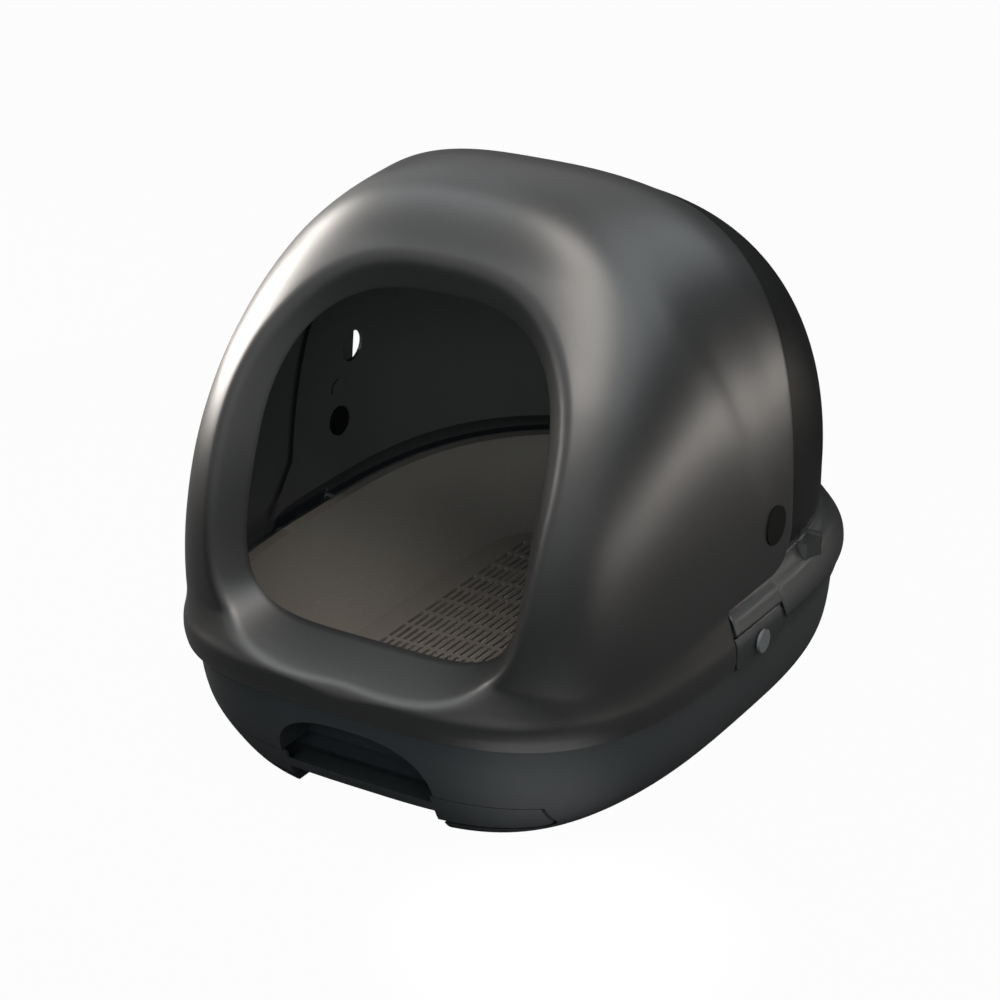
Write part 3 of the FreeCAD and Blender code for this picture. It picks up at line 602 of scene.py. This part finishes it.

# %% [markdown]
# ## The hood's rear half
# The rear half is a plainer shell that the front half turns back over. It keeps its solid. Its inner
# faces take the duller inside finish, the same black painted much lighter as painted light inside the
# hood, and its flange a paler one, by a material index on each face, so that the mesh needn't be cut.
# On the real box a cove, a hollow curve, softens the corner between the wall and the flange. A bevel
# can't make it, because the solid is loose triangles, so a thin strip is laid over the corner.

# %% Finishes of the rear half
PIVOT = np.array((0.0, 13.0, 170.6))
FLANGE_TOP = 140.0
INSIDE_INDEX = 1
FLANGE_INDEX = 2
rear_solid = frame["nodes"]["rear_hood"]
rear_solid.data.materials[0] = hood_rear
# Painted light: the inner faces take the black painted lighter.
rear_solid.data.materials.append(hood_inside_painted_light)
rear_solid.data.materials.append(flange_matte)
inner_faces = 0
for face in rear_solid.data.polygons:
    out = Vector((face.center.x, face.center.y - PIVOT[1] * MM, max(face.center.z - PIVOT[2] * MM, 0.0)))
    if face.normal.dot(out) < 0:
        face.material_index = INSIDE_INDEX
        inner_faces += 1
    elif face.center.z < FLANGE_TOP * MM:
        face.material_index = FLANGE_INDEX
print("inner faces of the rear half", inner_faces)

# %% Form of the rear half
REAR_HALF = 186.0
REAR_REACH = 220.0
REAR_POWER = 2.6
COVE_BLEND = 30.0
FLANGE = {"height": 38.3, "side": 10.0, "front": 13.0, "back": 22.0,
          "levels": (0.0, 0.12, 0.25, 0.43, 0.61, 0.77, 0.9, 1.0),
          "shares": (0.0, 0.09, 0.14, 0.09, -0.2, -0.6, -1.0, -1.9)}


def outside_rear(points):
    """How far points lie outside the wall of the rear half."""
    back = points[..., 1] - PIVOT[1]
    up = np.maximum(points[..., 2] - PIVOT[2], 0)
    across = np.abs(points[..., 0]) / REAR_HALF
    out = np.hypot(back, up) / REAR_REACH
    return ((across ** REAR_POWER + out ** REAR_POWER) ** (1 / REAR_POWER) - 1) * REAR_HALF


def outside_flange(points):
    return outside_skirt(points, FLANGE)


def rear_form(points):
    return soft_union(outside_rear(points), outside_flange(points), COVE_BLEND)


def hard_form(points):
    return np.minimum(outside_rear(points), outside_flange(points))


print("rear half's top in mm", PIVOT[2] + REAR_REACH)

# %% Where the cove starts and ends
COVE_COLUMNS = 240
COVE_LEVELS = 131
COVE_LOW = 100.0
COVE_HIGH = 165.0
COVE_START = -55.5
COVE_LIFT = 0.04
TAB_CLEAR = 113.0
TAB_SPAN = (-59.0, 15.0)

cove_start = np.arctan2(SKIRT_HALF, SKIRT_MIDDLE - COVE_START)
cove_turns = np.linspace(cove_start, 2 * math.pi - cove_start, COVE_COLUMNS + 1)
cove_ways = np.stack((np.sin(cove_turns), -np.cos(cove_turns), np.zeros_like(cove_turns)), axis=-1) * FAR


def around(levels, shape):
    """Points of a form on level rays from its middle line, one level for each column."""
    starts = np.stack((np.zeros_like(levels), np.full_like(levels, SKIRT_MIDDLE), levels), axis=-1)
    return leave_point(starts, cove_ways, shape)


def cove_fill(level):
    """How far the cove stands out of the bare corner at one level, for each column."""
    levels = np.full(COVE_COLUMNS + 1, level)
    return np.linalg.norm(around(levels, rear_form) - around(levels, hard_form), axis=-1)


cove_levels = np.linspace(COVE_LOW, COVE_HIGH, COVE_LEVELS)
filled = np.stack([cove_fill(level) for level in cove_levels]) > COVE_LIFT
cove_low = cove_levels[np.argmax(filled, axis=0)]
cove_high = cove_levels[COVE_LEVELS - 1 - np.argmax(filled[::-1], axis=0)]
cove_depths = around(cove_low, rear_form)[:, 1]
over_tab = (cove_depths > TAB_SPAN[0]) & (cove_depths < TAB_SPAN[1])
cove_low = np.where(over_tab, np.maximum(cove_low, TAB_CLEAR), cove_low)
print("cove from", cove_low.min(), "to", cove_high.max(), "mm above the floor")

# %% The cove
COVE_ROWS = 16
COVE_WALL = 0.8
COVE_HEART = Vector((0.0, 0.06, 0.12))


def strip_through(name, rows, finish):
    """An open strip extruded row by row."""
    shape = bmesh.new()
    row = [shape.verts.new(place) for place in rows[0]]
    edges = [shape.edges.new(pair) for pair in zip(row, row[1:])]
    draw_rows(shape, row, edges, rows[1:])
    return make_piece(name, shape, finish)


cove_rows = []
for step in range(COVE_ROWS + 1):
    share = step / COVE_ROWS
    cove_rows.append(around(cove_low * (1 - share) + cove_high * share, rear_form) * MM)
rear_cove = strip_through("rear_cove", cove_rows, flange_matte)
face_outwards(rear_cove, COVE_HEART)
give_wall(rear_cove, COVE_WALL * MM, even=False)
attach(rear_cove, "rear")
print("cove faces", len(rear_cove.data.polygons))

# %% [markdown]
# ## Latch tabs
# On each side a tongue of the flange hangs down and snaps over the tub. Its face follows the bulge of
# the flange. A bent box would only come near that curve, so each tab is a strip laid on the flange's
# form, with its two lower corners rounded, and then given a wall.

# %% Latch tabs on the flange's form
TAB_PROUD = 0.6
TAB_WALL = 3.0
TAB_EDGE = 0.5
TAB_CORNER = 9.0
TAB_STEPS = 34
TAB_ROWS = 16
TAB_HEART = Vector((0.0, 0.0, 0.1))


def build_tab(side, name):
    low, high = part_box("latch_tab_" + name)
    depths = np.linspace(low.y, high.y, TAB_STEPS + 1) / MM
    top = high.z / MM
    inset = np.clip(TAB_CORNER - np.minimum(depths - depths[0], depths[-1] - depths), 0, TAB_CORNER)
    foot = low.z / MM + TAB_CORNER - np.sqrt(TAB_CORNER ** 2 - inset ** 2)
    rows = []
    for step in range(TAB_ROWS + 1):
        heights = top + (foot - top) * step / TAB_ROWS
        places = on_side(depths, np.maximum(heights, SKIRT_FOOT), outside_flange)
        rows.append(np.stack((side * (places[:, 0] + TAB_PROUD), depths, heights), axis=-1) * MM)
    piece = strip_through("latch_tab_skin_" + name, rows, flange_matte)
    face_outwards(piece, TAB_HEART)
    give_wall(piece, TAB_WALL * MM)
    soften_edges(piece, TAB_EDGE * MM)
    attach(piece, "latch_" + name)
    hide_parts("latch_tab_" + name)
    print("tab", name, "faces", len(piece.data.polygons))


build_tab(-1, "left")
build_tab(1, "right")

# %% [markdown]
# ## The absorbent pad
# The pad lies in the tray and shows when the tray is drawn out. It is a thin quilted cloth. A cloth
# simulation could puff it up, but such a pad is almost flat, so it is a closed form whose top swells
# between two sets of stitched lines and falls towards its rim.

# %% Non-woven cloth
FIBRE_SCALE = 900.0
FIBRE_DETAIL = 6.0
FIBRE_HEIGHT = 0.0002
CLOTH_SHADE = (0.72, 0.74, 0.76, 1.0)
CLOTH_LIGHT = (0.86, 0.87, 0.88, 1.0)
CLOTH_ROUGHNESS = 0.95
CLOTH_SHEEN = 0.2


def build_pad_cloth():
    finish, tree = new_finish("pad_cloth")
    place = add_node(tree, "ShaderNodeTexCoord")
    fibres = add_node(tree, "ShaderNodeTexNoise", {
        "Vector": place.outputs["Object"], "Scale": FIBRE_SCALE, "Detail": FIBRE_DETAIL})
    tone = add_node(tree, "ShaderNodeMix", {
        "Factor": fibres.outputs["Fac"], "A": CLOTH_SHADE, "B": CLOTH_LIGHT}, data_type="RGBA")
    bump = add_node(tree, "ShaderNodeBump", {"Height": fibres.outputs["Fac"], "Distance": FIBRE_HEIGHT})
    set_inputs(tree, tree.nodes["Principled BSDF"], {
        "Base Color": tone.outputs["Result"], "Normal": bump.outputs["Normal"],
        "Roughness": CLOTH_ROUGHNESS, "Sheen Weight": CLOTH_SHEEN})
    return finish


# %% Quilted pad
PAD_CELLS = (60, 104)
PAD_RIM_SHARE = 0.25
QUILT_PITCH = 29 * MM
QUILT_DEPTH = 1.6 * MM
QUILT_POWER = 0.5
EDGE_FALL = 9 * MM
pad_low, pad_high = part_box("absorbent_pad")


def pad_height(x, y):
    """How high the pad's top is above its underside."""
    edge = min(pad_high.x - x, x - pad_low.x, pad_high.y - y, y - pad_low.y)
    along = math.sin((x + y) * math.pi / QUILT_PITCH)
    across = math.sin((x - y) * math.pi / QUILT_PITCH)
    swell = min(abs(along), abs(across)) ** QUILT_POWER
    fall = 1 - (1 - min(edge / EDGE_FALL, 1)) ** 2
    full = (pad_high.z - pad_low.z) * (PAD_RIM_SHARE + (1 - PAD_RIM_SHARE) * fall)
    return full - QUILT_DEPTH * (1 - swell) * fall


def build_pad(finish):
    shape = bmesh.new()
    bmesh.ops.create_grid(shape, x_segments=PAD_CELLS[0], y_segments=PAD_CELLS[1], size=0.5)
    size = pad_high - pad_low
    middle = (pad_high + pad_low) / 2
    for vert in shape.verts:
        x = middle.x + vert.co.x * size.x
        y = middle.y + vert.co.y * size.y
        vert.co = (x, y, pad_low.z + pad_height(x, y))
    rim = [edge for edge in shape.edges if edge.is_boundary]
    made = bmesh.ops.extrude_edge_only(shape, edges=rim)["geom"]
    for item in made:
        if isinstance(item, bmesh.types.BMVert):
            item.co.z = pad_low.z
    bmesh.ops.contextual_create(shape, geom=[item for item in made if isinstance(item, bmesh.types.BMEdge)])
    bmesh.ops.recalc_face_normals(shape, faces=shape.faces)
    for face in shape.faces:
        face.smooth = len(face.verts) == 4
    return make_piece("quilted_pad", shape, finish)


quilted_pad = build_pad(build_pad_cloth())
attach(quilted_pad, "drawer")
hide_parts("absorbent_pad")
print("pad faces", len(quilted_pad.data.polygons))

# %% [markdown]
# ## Floor
# The box stands on a white floor with hardly any shadow. White paper would also throw light up at the
# black plastic and wash it out. So the camera sees a floor that glows white, while the plastic is lit
# by dark paper that is pale only in a patch before the box, at its right.

# %% Floor
FLOOR_HALF = 6.0
FLOOR_WHITENESS = 0.975
FLOOR_GLOW = 1.0
PALE_PATCH = (0.20, -0.29, 0.0)
PALE_REACH = 0.16
PALE_FULL = PALE_REACH / 3
DARK_PAPER = (0.08, 0.08, 0.082, 1.0)
PALE_PAPER = (0.75, 0.75, 0.76, 1.0)


def build_floor_finish():
    finish, tree = new_finish("floor_white")
    tree.nodes.remove(tree.nodes["Principled BSDF"])
    place = add_node(tree, "ShaderNodeTexCoord")
    away = add_node(tree, "ShaderNodeVectorMath", {
        0: place.outputs["Object"], 1: PALE_PATCH}, operation="DISTANCE")
    near = add_node(tree, "ShaderNodeMapRange", {
        "Value": away.outputs["Value"], "From Min": PALE_REACH, "From Max": PALE_FULL},
        interpolation_type="SMOOTHSTEP")
    grade = add_node(tree, "ShaderNodeMix", {
        "Factor": near.outputs["Result"], "A": DARK_PAPER, "B": PALE_PAPER}, data_type="RGBA")
    paper = add_node(tree, "ShaderNodeBsdfDiffuse", {"Color": grade.outputs["Result"]})
    white = add_node(tree, "ShaderNodeEmission", {"Strength": FLOOR_GLOW})
    path = add_node(tree, "ShaderNodeLightPath")
    seen = add_node(tree, "ShaderNodeMath", {
        0: path.outputs["Is Camera Ray"], 1: FLOOR_WHITENESS}, operation="MULTIPLY")
    mix = add_node(tree, "ShaderNodeMixShader", {
        0: seen.outputs["Value"], 1: paper.outputs[0], 2: white.outputs[0]})
    set_inputs(tree, tree.nodes["Material Output"], {"Surface": mix.outputs[0]})
    return finish


def build_floor():
    shape = bmesh.new()
    bmesh.ops.create_grid(shape, x_segments=1, y_segments=1, size=FLOOR_HALF)
    return make_piece("floor", shape, build_floor_finish())


floor = build_floor()
print("floor", 2 * FLOOR_HALF, "m wide")

# %% [markdown]
# ## Light
# Satin black shows little of its own colour. What the eye reads is what it mirrors, so the lamps are
# placed by the directions that the hood mirrors to the camera: a warm one overhead, a warm strip at
# each side, and weak cool panels higher up at the sides and behind. A cool fill from the front lights
# the inside and the basin, and isn't mirrored. The room itself gives a low even light.

# %% World
ROOM_COLOUR = (0.93, 0.97, 1.0, 1.0)
ROOM_STRENGTH = 0.5
SEEN_STRENGTH = 1.0


def seen_directly(tree):
    """One for a ray from the camera, or one mirrored or let through on its way from it."""
    path = add_node(tree, "ShaderNodeLightPath").outputs
    either = add_node(tree, "ShaderNodeMath", {
        0: path["Is Camera Ray"], 1: path["Is Glossy Ray"]}, operation="MAXIMUM")
    any_of = add_node(tree, "ShaderNodeMath", {
        0: either.outputs["Value"], 1: path["Is Transmission Ray"]}, operation="MAXIMUM")
    return any_of.outputs["Value"]


def build_world():
    world = bpy.data.worlds.new("studio")
    bpy.context.scene.world = world
    world.use_nodes = True
    tree = world.node_tree
    room = tree.nodes["Background"]
    set_inputs(tree, room, {"Color": ROOM_COLOUR, "Strength": ROOM_STRENGTH})
    backdrop = add_node(tree, "ShaderNodeBackground", {"Strength": SEEN_STRENGTH})
    mix = add_node(tree, "ShaderNodeMixShader", {
        0: seen_directly(tree), 1: room.outputs[0], 2: backdrop.outputs[0]})
    set_inputs(tree, tree.nodes["World Output"], {"Surface": mix.outputs[0]})
    print("room light", ROOM_STRENGTH)


build_world()

# %% Lamps
LAMP_AIM = Vector((0.0, -0.05, 0.2))
WARM = (1.0, 0.94, 0.88)
COOL = (0.86, 0.95, 1.0)


def add_lamp(name, azimuth, elevation, distance, width, height, power, colour, mirrored=True):
    """A soft panel in a direction from the box, by degrees, metres and watts."""
    data = bpy.data.lights.new(name, "AREA")
    data.shape = "RECTANGLE"
    data.size = width
    data.size_y = height
    data.energy = power
    data.color = colour
    lamp = bpy.data.objects.new(name, data)
    bpy.context.scene.collection.objects.link(lamp)
    out = toward(azimuth, elevation)
    lamp.matrix_world = stand(LAMP_AIM + out * distance, out)
    lamp.visible_camera = False
    lamp.visible_glossy = mirrored
    print("lamp", name, power, "W")


# Name, azimuth, elevation, distance, width, height, power and colour of each lamp
add_lamp("overhead", 30, 66, 1.5, 0.9, 0.9, 28.0, WARM)
add_lamp("front left panel", -66, 56, 1.7, 0.9, 0.7, 6.0, COOL)
add_lamp("left strip", -92, 16, 1.3, 0.4, 0.6, 28.0, WARM)
add_lamp("back left panel", -118, 52, 1.7, 1.0, 1.0, 2.0, COOL)
add_lamp("back right panel", 138, 40, 1.7, 1.1, 0.9, 6.0, COOL)
add_lamp("right top panel", 92, 54, 1.6, 0.9, 0.8, 6.0, COOL)
add_lamp("right strip", 106, 1, 0.52, 0.9, 0.03, 1.4, WARM)
add_lamp("front fill", 27, 18, 2.2, 1.6, 1.0, 52.0, COOL, mirrored=False)

# %% [markdown]
# ## Dark felt
# The pale room would also be mirrored low on the flanks, as a bright band. In a studio dark felt hangs
# there. Two cards, at the right and behind, and a low ring round the box do the same here. The camera
# doesn't see them.

# %% Dark felt
FELT_COLOUR = (0.01, 0.01, 0.01, 1.0)
FELT_ROUGHNESS = 1.0
FELT_SPECULAR = 0.0
CARD_ELEVATION = 2
CARD_DISTANCE = 0.56
CARD_WIDTH = 1.1
CARD_HEIGHT = 0.7
RING_SEGMENTS = 64
RING_RADIUS = 0.85
RING_HEIGHT = 0.28


def build_felt_finish():
    finish, tree = new_finish("dark_felt")
    set_inputs(tree, tree.nodes["Principled BSDF"], {
        "Base Color": FELT_COLOUR, "Roughness": FELT_ROUGHNESS, "Specular IOR Level": FELT_SPECULAR})
    return finish


def hang_felt(name, shape):
    """Felt that the camera doesn't see, which keeps the mirrored horizon dark."""
    felt = make_piece(name, shape, dark_felt)
    felt.visible_camera = False
    print("hung", name)


def felt_card(name, azimuth):
    out = toward(azimuth, CARD_ELEVATION)
    size = Matrix.Diagonal((CARD_WIDTH, CARD_HEIGHT, 1.0, 1.0))
    shape = bmesh.new()
    bmesh.ops.create_grid(shape, x_segments=1, y_segments=1, size=0.5,
                          matrix=stand(LAMP_AIM + out * CARD_DISTANCE, out) @ size)
    hang_felt(name, shape)


def felt_ring(name):
    shape = bmesh.new()
    bmesh.ops.create_cone(shape, segments=RING_SEGMENTS, radius1=RING_RADIUS, radius2=RING_RADIUS,
                          depth=RING_HEIGHT, cap_ends=False,
                          matrix=Matrix.Translation((0.0, 0.0, RING_HEIGHT / 2)))
    hang_felt(name, shape)


dark_felt = build_felt_finish()
felt_card("right felt", 105)
felt_card("back felt", 186)
felt_ring("felt ring")
